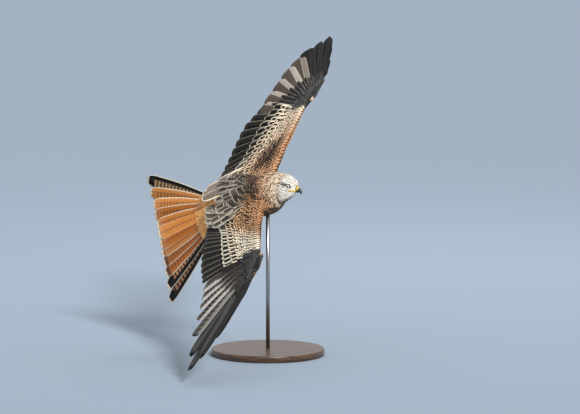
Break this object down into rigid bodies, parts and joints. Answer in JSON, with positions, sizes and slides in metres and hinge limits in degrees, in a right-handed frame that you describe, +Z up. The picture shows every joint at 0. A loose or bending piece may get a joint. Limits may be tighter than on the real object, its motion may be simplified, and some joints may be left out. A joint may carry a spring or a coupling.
{
  "type": "mounted red kite",
  "caption": "Life-size still model of a red kite in banking flight with spread wings and fanned forked tail, on a round base with one rod.",
  "frame": {"origin": "middle of the underside of the stand's round base", "axes": "+Z up from the floor; the bird heads towards +X and -Y, climbing, with its left wing up and its back turned to -Y"},
  "size_m": [0.5668, 1.1609, 0.9105],
  "materials": {
    "wing_feathers": "blackish brown feathers with pale edges",
    "body_feathers": "rufous brown feathers",
    "neck_feathers": "rufous and buff streaked feathers",
    "head_feathers": "whitish, finely streaked feathers",
    "tail_feathers": "rufous orange feathers",
    "eye": "polished glass eye",
    "bill_horn": "dark horn",
    "cere_skin": "smooth yellow skin",
    "leg_skin": "scaled yellow skin",
    "stand_wood": "dark satin wood",
    "stand_steel": "satin steel rod"
  },
  "bodies": {
    "root": {"torso": "body_feathers", "thigh_left": "body_feathers", "thigh_right": "body_feathers", "neck": "neck_feathers", "head": "head_feathers", "tail": "tail_feathers", "eye_left": "eye", "eye_right": "eye", "cere": "cere_skin", "bill_upper": "bill_horn", "bill_lower": "bill_horn", "wing_left_arm": "wing_feathers", "wing_left_hand": "wing_feathers", "wing_left_alula": "wing_feathers", "wing_right_arm": "wing_feathers", "wing_right_hand": "wing_feathers", "wing_right_alula": "wing_feathers", "leg_left": "leg_skin", "leg_right": "leg_skin", "stand_base": "stand_wood", "stand_rod": "stand_steel"}
  },
  "joints": []
}
